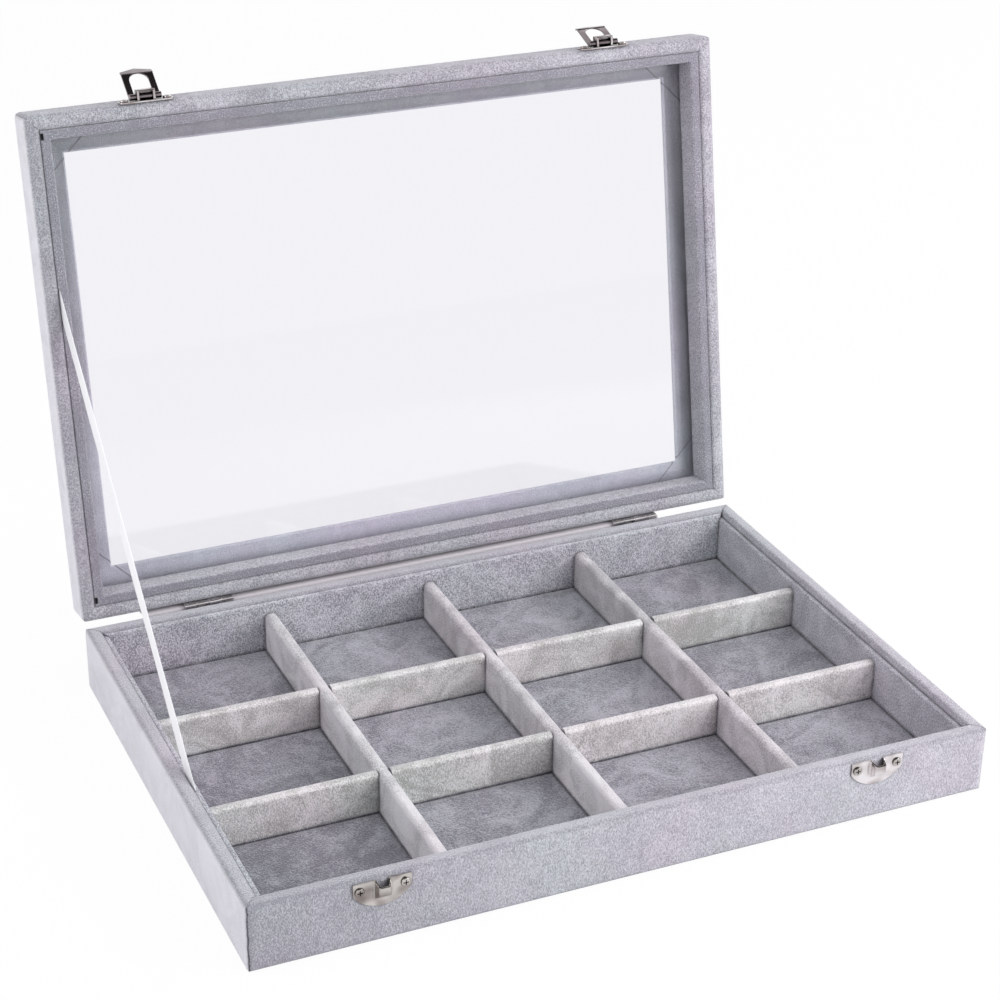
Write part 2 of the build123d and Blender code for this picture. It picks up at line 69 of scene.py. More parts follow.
# The dark foot of the pile, which shows in a fold and serves as painted shade in inner corners and
# beside the glass strips, and a painted highlight on faces that look left.
PILE_FOOT_AND_SHADE = "3C3B42"
PAINTED_HIGHLIGHT = "F7F5FA"


def linear(code):
    """An sRGB hex colour as linear red, green, blue and alpha."""
    parts = [int(code[i:i + 2], 16) / 255 for i in (0, 2, 4)]
    return [p / 12.92 if p <= 0.04045 else ((p + 0.055) / 1.055) ** 2.4 for p in parts] + [1.0]


def add_node(tree, kind, fill=None, **settings):
    """Adds one node with its settings.

    Each input named in fill gets a number, a colour or another node's output.
    """
    node = tree.nodes.new(kind)
    for name, value in settings.items():
        setattr(node, name, value)
    for name, value in (fill or {}).items():
        if isinstance(value, bpy.types.NodeSocket):
            tree.links.new(value, node.inputs[name])
        else:
            node.inputs[name].default_value = value
    return node


def new_material(name):
    """An empty material and its output node."""
    material = bpy.data.materials.new(name)
    material.use_nodes = True
    material.node_tree.nodes.clear()
    return material, add_node(material.node_tree, "ShaderNodeOutputMaterial")


def cover(names, material):
    """Puts a material on CAD pieces."""
    for name in names:
        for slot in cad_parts[name].material_slots:
            slot.material = material


def laid_out(tree, shut):
    """Where a point of the cloth is and which way it faces.

    shut is the point and the angle that turn the open lid shut, so that its cloth is laid out like the
    base's.
    """
    coordinates = add_node(tree, "ShaderNodeTexCoord")
    place = coordinates.outputs["Object"]
    facing = coordinates.outputs["Normal"]
    if shut:
        point, angle = shut
        place = add_node(tree, "ShaderNodeVectorRotate", {
            "Vector": place, "Center": point, "Angle": angle}, rotation_type="X_AXIS").outputs[0]
        facing = add_node(tree, "ShaderNodeVectorRotate", {
            "Vector": facing, "Center": (0, 0, 0), "Angle": angle}, rotation_type="X_AXIS").outputs[0]
    return place, facing


def pile_tone(tree, place, tufts, brushed, upward, cloud, fold, level, tone_slope):
    """How light the pile is, from 0 to 1.

    It is the tone of the tufts plus the brushed clouds, plus fold where the cloth bends from upright to
    level, plus what tone_slope adds between its two places, plus the painted shade that level adds on a
    level face.
    """
    clouds = add_node(tree, "ShaderNodeMapRange", {
        "Value": brushed, "From Min": 0.3, "From Max": 0.7, "To Min": -cloud, "To Max": cloud})
    tone = add_node(tree, "ShaderNodeMath", {0: tufts, 1: clouds.outputs["Result"]}, operation="ADD")
    bent_in = add_node(tree, "ShaderNodeMapRange", {
        "Value": upward, "From Min": 0.3, "From Max": 0.65}, interpolation_type="SMOOTHSTEP")
    bent_out = add_node(tree, "ShaderNodeMapRange", {
        "Value": upward, "From Min": 0.8, "From Max": 0.98, "To Min": 1.0, "To Max": 0.0},
        interpolation_type="SMOOTHSTEP")
    bent = add_node(tree, "ShaderNodeMath", {
        0: bent_in.outputs["Result"], 1: bent_out.outputs["Result"]}, operation="MULTIPLY")
    tone = add_node(tree, "ShaderNodeMath", {
        0: bent.outputs[0], 1: fold, 2: tone.outputs[0]}, operation="MULTIPLY_ADD")
    if tone_slope:
        (start, start_tone), (end, end_tone) = tone_slope
        way = add_node(tree, "ShaderNodeVectorMath", {
            0: place, 1: (1.0, 0.7, 0.0)}, operation="DOT_PRODUCT")
        sloping_tone = add_node(tree, "ShaderNodeMapRange", {
            "Value": way.outputs["Value"], "From Min": start, "From Max": end,
            "To Min": start_tone, "To Max": end_tone})
        tone = add_node(tree, "ShaderNodeMath", {
            0: tone.outputs[0], 1: sloping_tone.outputs["Result"]}, operation="ADD")
    level_shade = add_node(tree, "ShaderNodeMapRange", {
        "Value": upward, "From Min": 0.6, "From Max": 1.0, "To Min": 0.0, "To Max": level})
    tone = add_node(tree, "ShaderNodeMath", {
        0: tone.outputs[0], 1: level_shade.outputs["Result"]}, operation="ADD", use_clamp=True)
    return tone.outputs[0]


def painted_left_light(tree, facing, brushed, strength):
    """A painted highlight, as strong as strength on a face that looks left, a little less in patches."""
    leftward = add_node(tree, "ShaderNodeSeparateXYZ", {0: facing}).outputs["X"]
    flat = add_node(tree, "ShaderNodeMapRange", {
        "Value": leftward, "From Min": -0.95, "From Max": -0.6, "To Min": strength, "To Max": 0.0})
    uneven = add_node(tree, "ShaderNodeMapRange", {
        "Value": brushed, "From Min": 0.3, "From Max": 0.6, "To Min": 0.75, "To Max": 1.0})
    return add_node(tree, "ShaderNodeMath", {
        0: flat.outputs["Result"], 1: uneven.outputs["Result"]}, operation="MULTIPLY").outputs[0]


def painted_corner_shade(tree, waver, strength):
    """Painted shade within two millimetres of an inner corner, darker where less sky is open."""
    open_sky = add_node(tree, "ShaderNodeAmbientOcclusion", {"Distance": 0.0022}, samples=6)
    hollow = add_node(tree, "ShaderNodeMapRange", {
        "Value": open_sky.outputs["AO"], "From Min": 0.3, "From Max": 0.9,
        "To Min": strength * 2, "To Max": 0.0})
    return add_node(tree, "ShaderNodeMath", {
        0: hollow.outputs["Result"], 1: waver}, operation="MULTIPLY").outputs[0]


def fold_line(tree, place, waver, way, line, strength):
    """How deep the pile lies along a fold: strength on the fold, falling to nothing in a millimetre.

    The fold lies where |x| and |y|, added or subtracted as way says, come to line, and wavers about it.
    """
    apart = add_node(tree, "ShaderNodeVectorMath", {0: place}, operation="ABSOLUTE")
    apart = add_node(tree, "ShaderNodeSeparateXYZ", {0: apart.outputs[0]})
    from_fold = add_node(tree, "ShaderNodeMath", {
        0: apart.outputs["X"], 1: apart.outputs["Y"]}, operation=way)
    from_fold = add_node(tree, "ShaderNodeMath", {
        0: waver, 1: FOLD_STRAY * 2, 2: from_fold.outputs[0]}, operation="MULTIPLY_ADD")
    from_fold = add_node(tree, "ShaderNodeMath", {
        0: from_fold.outputs[0], 1: line + FOLD_STRAY}, operation="SUBTRACT")
    from_fold = add_node(tree, "ShaderNodeMath", {0: from_fold.outputs[0]}, operation="ABSOLUTE")
    return add_node(tree, "ShaderNodeMapRange", {
        "Value": from_fold.outputs[0], "From Min": 0.0001, "From Max": 0.0004 + strength * 0.0006,
        "To Min": strength, "To Max": 0.0}).outputs["Result"]


def mitre_fold(tree, place, waver, tufts, upward, strength):
    """The fold at a corner of the case, deeper on an upright face and broken up by the tufts."""
    crease = fold_line(tree, place, waver, "SUBTRACT", MITRE, strength)
    upright = add_node(tree, "ShaderNodeMapRange", {
        "Value": upward, "From Min": 0.2, "From Max": 0.8, "To Min": 1.3, "To Max": 0.8})
    broken = add_node(tree, "ShaderNodeMath", {
        0: tufts, 1: -0.5, 2: upright.outputs["Result"]}, operation="MULTIPLY_ADD")
    return add_node(tree, "ShaderNodeMath", {
        0: crease, 1: broken.outputs[0]}, operation="MULTIPLY", use_clamp=True).outputs[0]


def velvet(name, light, dark, mottle=1.1, cloud=0.14, fold=-0.12, level=0.0, tone_slope=None, smooth=0.0,
           corner_shade=0.5, mitre=0.0, marks=(), shut=None):
    """Velvet: clumps of leaning pile mixed from a light and a dark grey, over broad brushed clouds.

    The clumps are noise, drawn out a little the way the cloth is combed, and mottle and cloud say how
    strong the clumps and the clouds are. The tips of the pile are in the bump, and sheen is the light
    that they scatter. The pile opens where the cloth bends round an edge, by fold. level adds to the
    tone of a face that is level when the case is shut, as painted shade where it is below nought.
    tone_slope gives two places on the way from the front left to the back right, with what is added to
    the tone at each. smooth paints light, a pale highlight, on a face that looks left. corner_shade
    paints shade along inner corners, and mitre darkens the folds at the case's corners. Each function
    in marks is given the tree, the place and the waver of the folds and the painted shade, and returns
    how much of one more colour lies where, and that colour. shut is as for laid_out.
    """
    material, output = new_material(name)
    tree = material.node_tree
    place, facing = laid_out(tree, shut)
    either_way = add_node(tree, "ShaderNodeVectorMath", {0: facing}, operation="ABSOLUTE")
    upward = add_node(tree, "ShaderNodeSeparateXYZ", {0: either_way.outputs[0]}).outputs["Z"]
    combed = add_node(tree, "ShaderNodeVectorMath", {
        0: place, 1: (1.15, 1.0, 0.85)}, operation="MULTIPLY")
    clumps = add_node(tree, "ShaderNodeTexNoise", {
        "Vector": combed.outputs[0], "Scale": 1000 / CLUMP_MM, "Detail": 2.0, "Roughness": 0.6})
    tufts = add_node(tree, "ShaderNodeMapRange", {
        "Value": clumps.outputs["Fac"], "From Min": 0.5 - 0.2 / mottle,
        "From Max": 0.5 + 0.2 / mottle}).outputs["Result"]
    brushed = add_node(tree, "ShaderNodeTexNoise", {
        "Vector": place, "Scale": 1000 / BRUSHED_MM, "Detail": 3.0, "Roughness": 0.6,
        "Distortion": 1.4}).outputs["Fac"]
    waver = add_node(tree, "ShaderNodeTexNoise", {
        "Vector": place, "Scale": 1000 / WAVER_MM, "Detail": 4.0}).outputs["Fac"]

    tone = pile_tone(tree, place, tufts, brushed, upward, cloud, fold, level, tone_slope)
    colour = add_node(tree, "ShaderNodeMix", {
        "Factor": tone, 6: linear(dark), 7: linear(light)}, data_type="RGBA")
    hue = add_node(tree, "ShaderNodeTexNoise", {"Vector": place, "Scale": 1000 / HUE_MM, "Detail": 2.0})
    warmth = add_node(tree, "ShaderNodeMapRange", {
        "Value": hue.outputs["Fac"], "From Min": 0.35, "From Max": 0.65})
    tint = add_node(tree, "ShaderNodeMix", {
        "Factor": warmth.outputs["Result"], 6: linear("F9FEFD"), 7: linear("FFFAFE")}, data_type="RGBA")
    colour = add_node(tree, "ShaderNodeMix", {
        "Factor": 1.0, 6: colour.outputs[2], 7: tint.outputs[2]},
        data_type="RGBA", blend_type="MULTIPLY")

    # Over the tone go painted light on faces that look left, painted shade in inner corners, the folds at
    # the case's corners and the marks.
    layers = []
    if smooth:
        layers.append((painted_left_light(tree, facing, brushed, smooth), PAINTED_HIGHLIGHT))
    if corner_shade:
        layers.append((painted_corner_shade(tree, waver, corner_shade), PILE_FOOT_AND_SHADE))
    if mitre:
        layers.append((mitre_fold(tree, place, waver, tufts, upward, mitre), PILE_FOOT_AND_SHADE))
    for mark in marks:
        layers.append(mark(tree, place, waver))
    for share, over in layers:
        colour = add_node(tree, "ShaderNodeMix", {
            "Factor": share, 6: colour.outputs[2], 7: linear(over)}, data_type="RGBA")

    tips = add_node(tree, "ShaderNodeTexNoise", {"Vector": place, "Scale": 1000 / TIP_MM, "Detail": 1.0})
    height = add_node(tree, "ShaderNodeMath", {
        0: clumps.outputs["Fac"], 1: 1.6, 2: tips.outputs["Fac"]}, operation="MULTIPLY_ADD")
    bump = add_node(tree, "ShaderNodeBump", {
        "Height": height.outputs[0], "Strength": 0.9, "Distance": 0.0005})
    shader = add_node(tree, "ShaderNodeBsdfPrincipled", {
        "Base Color": colour.outputs[2], "Roughness": 0.92, "Normal": bump.outputs["Normal"],
        "Specular IOR Level": 0.12, "Sheen Weight": 0.8, "Sheen Roughness": 0.4,
        "Sheen Tint": linear("F1EFF5")})
    tree.links.new(shader.outputs[0], output.inputs["Surface"])
    return material


case_velvet = velvet("grey velvet glued over board", "D5D3D9", "9A98A0", mottle=1.0, fold=-0.25,
                     tone_slope=((-0.27, -0.3), (-0.13, 0.0)), corner_shade=0.6, mitre=1.0)
# The left wall's outer face carries painted light, a pale highlight, and its corners little painted
# shade.
left_lit_velvet = velvet("grey velvet with painted light on the left side", "D3D1D7", "9A98A0",
                       smooth=0.95, corner_shade=0.1, mitre=0.9)
cover(["base_wall_front", "base_wall_right", "base_wall_back"], case_velvet)
cover(["base_wall_left"], left_lit_velvet)

# BOTTOM BOARD
# A 3 mm board between the walls, flush with the underside and covered in dark paper. The paper is
# matt, and its faint fibres only show from below.
FIBRE_MM = 1.5
paper, output = new_material("dark paper over board")
tree = paper.node_tree
place = add_node(tree, "ShaderNodeTexCoord").outputs["Object"]
fibres = add_node(tree, "ShaderNodeTexNoise", {"Vector": place, "Scale": 1000 / FIBRE_MM, "Detail": 4.0})
shade = add_node(tree, "ShaderNodeMix", {
    "Factor": fibres.outputs["Fac"], 6: linear("2F2F33"), 7: linear("3C3C41")}, data_type="RGBA")
grain = add_node(tree, "ShaderNodeBump", {
    "Height": fibres.outputs["Fac"], "Strength": 0.3, "Distance": 0.0001})
shader = add_node(tree, "ShaderNodeBsdfPrincipled", {
    "Base Color": shade.outputs[2], "Roughness": 0.8, "Normal": grain.outputs["Normal"]})
tree.links.new(shader.outputs[0], output.inputs["Surface"])
cover(["base_bottom_board"], paper)

# LINING
# Four 2.5 mm boards in the same velvet, pushed in against the walls and a little lower than the rim.
# The left one has hardly any painted shade along its inner corners.
lining_velvet = velvet("grey velvet on the lining boards", "DDDCE2", "8F8E97",
                       mottle=1.5, cloud=0.25, corner_shade=0.8)
left_lining_velvet = velvet("grey velvet on the tightly fitted left lining board", "DDDCE2", "8F8E97",
                      mottle=1.6, corner_shade=0.1)
cover(["base_liner_front", "base_liner_right", "base_liner_back"], lining_velvet)
cover(["base_liner_left"], left_lining_velvet)

# FLOOR
# Velvet over a thin foam pad. The dividers press into it, so each of the twelve cells is a little
# crowned, and dips along its edges to a dark line, which painted shade deepens.
FLOOR_LOW = 0.0030
FLOOR_TOP = 0.0070
FLOOR_DIP = 0.0009
DIP_REACH = 0.0032
CELL_CROWN = 0.00015
# Grid lines lie this far in from a cell's edge, and one more lies a hair outside it.
STEPS_IN = np.array([0, 0.4, 0.9, 1.5, 2.2, 3.2, 6, 12, 20]) / 1000
HAIR = 0.00001


def slab(name, upper, lower, lay=None):
    """A closed body between two equal grids of points.

    Each square of the upper grid is a face, each square of the lower one is a face turned over, and a
    band of faces joins the two borders. lay gives each point's place on the flat cloth, in metres.
    """
    rows, columns = upper.shape[:2]
    top = np.arange(rows * columns).reshape(rows, columns)
    low = top + rows * columns

    def squares(grid):
        corners = [grid[:-1, :-1], grid[1:, :-1], grid[1:, 1:], grid[:-1, 1:]]
        return np.stack(corners, axis=-1).reshape(-1, 4)

    border = np.concatenate([top[0, :-1], top[:-1, -1], top[-1, :0:-1], top[:0:-1, 0]])
    onward = np.roll(border, -1)
    band = np.stack([border, onward, onward + rows * columns, border + rows * columns], axis=-1)
    faces = np.concatenate([squares(top), squares(low)[:, ::-1], band])
    mesh = bpy.data.meshes.new(name)
    mesh.from_pydata(np.concatenate([upper, lower]).reshape(-1, 3).tolist(), [], faces.tolist())
    if lay is not None:
        corner = np.zeros(len(mesh.loops), dtype=np.int32)
        mesh.loops.foreach_get("vertex_index", corner)
        flat = np.tile(lay.reshape(-1, 2), (2, 1))[corner]
        mesh.uv_layers.new(name="lay").data.foreach_set("uv", flat.ravel())
    mesh.shade_smooth()
    mesh.set_sharp_from_angle(angle=radians(50))
    piece = bpy.data.objects.new(name, mesh)
    bpy.context.scene.collection.objects.link(piece)
    return piece


def cell_edges(pieces, axis):
    """Where the cells begin and end along an axis: between the lining and the sides of the dividers."""
    low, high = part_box("floor_pad")
    sides = sorted(corner[axis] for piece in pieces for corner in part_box(piece))
    edges = [low[axis], *sides, high[axis]]
    return list(zip(edges[::2], edges[1::2]))


def floor_line(cells):
    """Grid lines across the floor, close together at the cells' edges.

    With each line comes its depth, which is its distance into its cell, or -1 for a line outside it.
    """
    lines, depths = [], []
    for low, high in cells:
        near = np.minimum(STEPS_IN, (high - low) / 2)
        lines.append(np.concatenate([[low - HAIR], low + near, (high - near)[::-1], [high + HAIR]]))
        depths.append(np.concatenate([[-1], near, near[::-1], [-1]]))
    return np.concatenate(lines), np.concatenate(depths)


floor_x, depth_x = floor_line(cell_edges([f"divider_long_{n}" for n in (1, 2, 3)], 0))
floor_y, depth_y = floor_line(cell_edges([f"divider_cross_{n}" for n in (1, 2)], 1))
grid_x, grid_y = np.meshgrid(floor_x, floor_y, indexing="ij")
# A point's depth is the smaller of its two lines' depths. The floor's height falls by FLOOR_DIP from
# DIP_REACH inside a cell to its edge, on a smooth curve, and is level under a divider, where the
# depth is negative.
depth = np.minimum(depth_x[:, None], depth_y[None, :])
fall = 1 - np.clip(depth / DIP_REACH, 0, 1)
height = FLOOR_TOP - CELL_CROWN * fall - (FLOOR_DIP - CELL_CROWN) * fall ** 3
height = np.where(depth < 0, FLOOR_TOP, height)
floor = slab("floor_velvet", np.stack([grid_x, grid_y, height], -1),
             np.stack([grid_x, grid_y, np.full_like(height, FLOOR_LOW)], -1))
floor_cloth = velvet("grey velvet over a foam pad", "B8B7BF", "74737B", mottle=1.5, cloud=0.5,
                     tone_slope=((-0.18, -0.28), (-0.03, 0.0)), corner_shade=0.8)
floor.data.materials.append(floor_cloth)
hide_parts("floor_pad")
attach(floor, "base")

# DIVIDERS
# Boards wrapped in velvet, halved into each other where they cross. The pile is pulled tight round
# them. On the long ones, light and shade are painted in a tone that goes from light at the front left
# to dark at the back right.
long_velvet = velvet("grey velvet pulled round the long dividers", "EAE6E8", "AFABAD",
                     mottle=1.3, cloud=0.55, fold=0.2, tone_slope=((-0.14, 0.42), (0.14, -0.42)), corner_shade=0.8)
cross_velvet = velvet("grey velvet pulled round the cross dividers", "EFEDEC", "B2B0AD",
                      mottle=1.3, cloud=0.5, fold=0.2, corner_shade=0.8)
cover([f"divider_long_{n}" for n in (1, 2, 3)], long_velvet)
cover([f"divider_cross_{n}" for n in (1, 2)], cross_velvet)

# CATCHES AND THEIR SCREWS
# Plates pressed from steel sheet and nickel plated, each with a bump that the hasp's window passes.
# Two pan head screws with a cross recess hold each one.
LATCHES = ("left", "right")
PLACES = ("inner", "outer")
# How wide the dull clouds and the waves in the metal are, and how far light sees its edges rounded.
CLOUD_MM = 9
WAVE_MM = 7
EDGE_MM = 0.3


def plated(name, colour, worn, roughness, grime_and_shade_mm=1.8, grime_and_shade=1.0, wave=0.0008):
    """Nickel plating over pressed steel.

    It is bright and slightly wavy, by wave in metres, and goes dull in clouds from colour to worn.
    Grime and painted shade, as strong as grime_and_shade says, reach grime_and_shade_mm out of its
    inner corners.
    """
    material, output = new_material(name)
    tree = material.node_tree
    place = add_node(tree, "ShaderNodeTexCoord").outputs["Object"]
    clouds = add_node(tree, "ShaderNodeTexNoise", {
        "Vector": place, "Scale": 1000 / CLOUD_MM, "Detail": 1.0})
    wear = add_node(tree, "ShaderNodeMapRange", {
        "Value": clouds.outputs["Fac"], "From Min": 0.35, "From Max": 0.65})
    tint = add_node(tree, "ShaderNodeMix", {
        "Factor": wear.outputs["Result"], 6: linear(colour), 7: linear(worn)}, data_type="RGBA")
    # Grime and painted shade darken the metal where less sky is open close by.
    open_sky = add_node(tree, "ShaderNodeAmbientOcclusion", {"Distance": grime_and_shade_mm / 1000}, samples=6)
    dirt_and_shade = add_node(tree, "ShaderNodeMapRange", {
        "Value": open_sky.outputs["AO"], "From Min": 0.3, "From Max": 0.9,
        "To Min": grime_and_shade, "To Max": 0.0})
    tint = add_node(tree, "ShaderNodeMix", {
        "Factor": dirt_and_shade.outputs["Result"], 6: tint.outputs[2], 7: linear("1E191A")}, data_type="RGBA")
    dulled = add_node(tree, "ShaderNodeMapRange", {
        "Value": clouds.outputs["Fac"], "From Min": 0.3, "From Max": 0.7,
        "To Min": roughness * 0.75, "To Max": roughness * 1.3})
    waves = add_node(tree, "ShaderNodeTexNoise", {
        "Vector": place, "Scale": 1000 / WAVE_MM, "Detail": 1.0})
    rounded = add_node(tree, "ShaderNodeBevel", {"Radius": EDGE_MM / 1000}, samples=4)
    marks = add_node(tree, "ShaderNodeBump", {
        "Height": waves.outputs["Fac"], "Strength": 1.0, "Distance": wave,
        "Normal": rounded.outputs["Normal"]})
    shader = add_node(tree, "ShaderNodeBsdfPrincipled", {
        "Base Color": tint.outputs[2], "Metallic": 1.0, "Roughness": dulled.outputs["Result"],
        "Normal": marks.outputs["Normal"]})
    tree.links.new(shader.outputs[0], output.inputs["Surface"])
    return material


nickel = plated("bright nickel plated steel", "E6E1E2", "B0A6A5", 0.16, wave=0.0014)
tarnished = plated("tarnished nickel plated steel", "C9C4C0", "756A66", 0.2, wave=0.0016)
cover(["catch_left"], tarnished)
cover(["catch_right"], nickel)
cover([f"catch_{side}_screw_{place}" for side in LATCHES for place in PLACES], tarnished)

# HINGES
# Small butt hinges of nickel plated steel across the gap at the back. Each has two leaves, a pin and
# four nails, and their plating is duller than the catches'.
LEAVES = ("base", "lid")
hinge_nickel = plated("dull nickel plated steel", "F4F1F2", "D5D0D1", 0.25, grime_and_shade_mm=0.5, grime_and_shade=0.3)
for side in LATCHES:
    cover([f"hinge_{side}_pin"], hinge_nickel)
    cover([f"hinge_{side}_{leaf}_leaf" for leaf in LEAVES], hinge_nickel)
    cover([f"hinge_{side}_{leaf}_nail_{place}" for leaf in LEAVES for place in PLACES], hinge_nickel)

# LID RAILS, STRIPS AND WINDOW FRAME
# The lid is made as the base is. The frame round the window lies behind the glass, and four velvet
# covered strips in front of the glass hold it.
HINGE_Y = 0.1225
HINGE_Z = 0.0332
OPEN = radians(100.2)
# The glass strips' inner faces are at |x| = STRIP_X and |y| = STRIP_Y, and the frame is in their
# shade for STRIP_SHADE. Across each corner of the window, the cloth is folded where |x| + |y| is PATCH.
STRIP_X = 0.1630
STRIP_Y = 0.1095
STRIP_SHADE = 0.005
PATCH = 0.2530
# Beside each end of the left strip, the shade in a small gap is painted dark: its middle, and half
# its width and length.
GAP = (0.1669, 0.1113, 0.0)
GAP_HALF = (0.0007, 0.0016, 1.0)


def window_fold(tree, place, waver):
    """The fold across each corner of the window."""
    return fold_line(tree, place, waver, "ADD", PATCH, 0.6), PILE_FOOT_AND_SHADE


def beside_strips(tree, place, waver):
    """The shade beside the glass strips.

    It grows as the larger of |x| and |y| + STRIP_X - STRIP_Y comes up to STRIP_X.
    """
    apart = add_node(tree, "ShaderNodeVectorMath", {0: place}, operation="ABSOLUTE")
    apart = add_node(tree, "ShaderNodeSeparateXYZ", {0: apart.outputs[0]})
    along_y = add_node(tree, "ShaderNodeMath", {
        0: apart.outputs["Y"], 1: STRIP_X - STRIP_Y}, operation="ADD")
    nearest = add_node(tree, "ShaderNodeMath", {
        0: along_y.outputs[0], 1: apart.outputs["X"]}, operation="MAXIMUM")
    shade = add_node(tree, "ShaderNodeMapRange", {
        "Value": nearest.outputs[0], "From Min": STRIP_X - STRIP_SHADE, "From Max": STRIP_X,
        "To Min": 0.0, "To Max": 0.25})
    return shade.outputs["Result"], PILE_FOOT_AND_SHADE


def painted_gap_shade(tree, place, waver):
    """Painted shade: the dark of a gap beside each end of a strip, which isn't cut.

    It is where ||x| - its middle| / its half width, and the same along y, are both under about 1.
    """
    apart = add_node(tree, "ShaderNodeVectorMath", {0: place}, operation="ABSOLUTE")
    off = add_node(tree, "ShaderNodeVectorMath", {0: apart.outputs[0], 1: GAP}, operation="SUBTRACT")
    off = add_node(tree, "ShaderNodeVectorMath", {0: off.outputs[0]}, operation="ABSOLUTE")
    off = add_node(tree, "ShaderNodeVectorMath", {0: off.outputs[0], 1: GAP_HALF}, operation="DIVIDE")
    off = add_node(tree, "ShaderNodeSeparateXYZ", {0: off.outputs[0]})
    off = add_node(tree, "ShaderNodeMath", {
        0: off.outputs["X"], 1: off.outputs["Y"]}, operation="MAXIMUM")
    inside = add_node(tree, "ShaderNodeMapRange", {
        "Value": off.outputs[0], "From Min": 0.85, "From Max": 1.1, "To Min": 1.0, "To Max": 0.0})
    return inside.outputs["Result"], "0A0A0C"


turned = ((0, HINGE_Y, HINGE_Z), OPEN)
rail_velvet = velvet("grey velvet glued over the lid's rails", "D3D1D7", "96949C",
                     mottle=1.5, cloud=0.25, corner_shade=0.15, mitre=0.5, shut=turned)
# The lid's left rail has painted light on the face that looks left, and painted shade on its level faces.
left_lit_rail = velvet("grey velvet with painted light on the lid's left side", "D3D1D7", "96949C",
                     level=-0.2, smooth=1.0, corner_shade=0.15, mitre=0.5, shut=turned)
frame_velvet = velvet("grey velvet round the window", "F2F3F6", "DADBE1",
                      mottle=1.2, cloud=0.4, corner_shade=0, marks=[window_fold, beside_strips], shut=turned)
# The strips' faces that are level when the lid is shut carry painted shade.
strip_velvet = velvet("grey velvet on the glass strips", "D9D7DE", "8F8D96",
                      mottle=1.6, level=-0.5, corner_shade=0.15, shut=turned)
left_strip = velvet("grey velvet on the left glass strip", "D9D7DE", "8F8D96",
                    mottle=1.6, level=-0.5, corner_shade=0.15, marks=[painted_gap_shade], shut=turned)
cover(["lid_rail_front", "lid_rail_right", "lid_rail_back"], rail_velvet)
cover(["lid_rail_left"], left_lit_rail)
cover(["lid_top_front", "lid_top_right", "lid_top_back", "lid_top_left"], frame_velvet)
cover(["lid_strip_front", "lid_strip_right", "lid_strip_back"], strip_velvet)
cover(["lid_strip_left"], left_strip)

# GLASS
# A 3 mm pane of float glass, clear with a faint violet grey cast over white. It lets shadow rays
# pass, so the frame behind it isn't darkened.
GLASS_CAST = linear("F2F1F6")
glass, output = new_material("float glass")
tree = glass.node_tree
pane = add_node(tree, "ShaderNodeBsdfPrincipled", {
    "Base Color": GLASS_CAST, "Roughness": 0.0, "IOR": 1.52, "Transmission Weight": 1.0})
see_through = add_node(tree, "ShaderNodeBsdfTransparent", {"Color": GLASS_CAST})
is_shadow = add_node(tree, "ShaderNodeLightPath").outputs["Is Shadow Ray"]
mixed = add_node(tree, "ShaderNodeMixShader", {
    0: is_shadow, 1: pane.outputs[0], 2: see_through.outputs[0]})
tree.links.new(mixed.outputs[0], output.inputs["Surface"])
cover(["lid_glass"], glass)

# HASPS
# Each has a pressed plate with a raised loop on the lid's front, and a swinging flap with a window.
# The flaps are of smokier plating than the plates.
smoky_nickel = plated("nickel plated spring steel", "A59C9E", "857B7E", 0.15, grime_and_shade_mm=2.5, wave=0.0002)
cover([f"hasp_{side}_bracket" for side in LATCHES], nickel)
cover([f"hasp_{side}_screw_{place}" for side in LATCHES for place in PLACES], nickel)
cover([f"hasp_{side}_flap" for side in LATCHES], smoky_nickel)

# RIBBON STAY
# A white satin ribbon, 10.5 mm wide, tucked between wall and lining at both ends. It is taut when the
# lid stands open and stops it. The satin shows faint cross ribs and two firm edges.
RIBBON_X = -0.1670
RIBBON_BASE = np.array([-0.0220, 0.0330])
RIBBON_LID = np.array([0.149968, 0.184731])
RIBBON_TUCK = 0.0080
RIBBON_HALF = 0.00525
RIBBON_THICK = 0.00036
RIBBON_WAVE = 0.00006
WAVES = 3
# The real ribs are finer than a pixel, so these are drawn far coarser, to show faintly. The gloss
# is painted, as a faintly lighter white that drifts over wider patches.
RIB_MM = 5.03
GLOSS_MM = 9
# Bands of a wave texture to a metre at a scale of 1.
BANDS = 20 / (2 * pi)

free = np.linalg.norm(RIBBON_LID - RIBBON_BASE)
along = (RIBBON_LID - RIBBON_BASE) / free
across = np.array([-along[1], along[0]])
# The ribbon's middle line is straight. Its two faces bulge apart a little between the edges, and
# three shallow waves, RIBBON_WAVE high at the edges, lean it to and fro.
travel = np.linspace(-RIBBON_TUCK, free + RIBBON_TUCK, 121)
width = np.linspace(-1, 1, 13)
run, side = np.meshgrid(travel, width, indexing="ij")
ribbon_y = RIBBON_BASE[0] + along[0] * run + across[0] * side * RIBBON_HALF
ribbon_z = RIBBON_BASE[1] + along[1] * run + across[1] * side * RIBBON_HALF
wave = RIBBON_WAVE * np.sin(2 * pi * np.clip(run, 0, free) / free * WAVES) * side
bulge = RIBBON_THICK / 2 * (0.55 + 0.45 * (1 - side ** 6))
left_face = np.stack([RIBBON_X + wave - bulge, ribbon_y, ribbon_z], -1)
right_face = np.stack([RIBBON_X + wave + bulge, ribbon_y, ribbon_z], -1)
ribbon = slab("ribbon", right_face, left_face, lay=np.stack([side * RIBBON_HALF, run], -1))

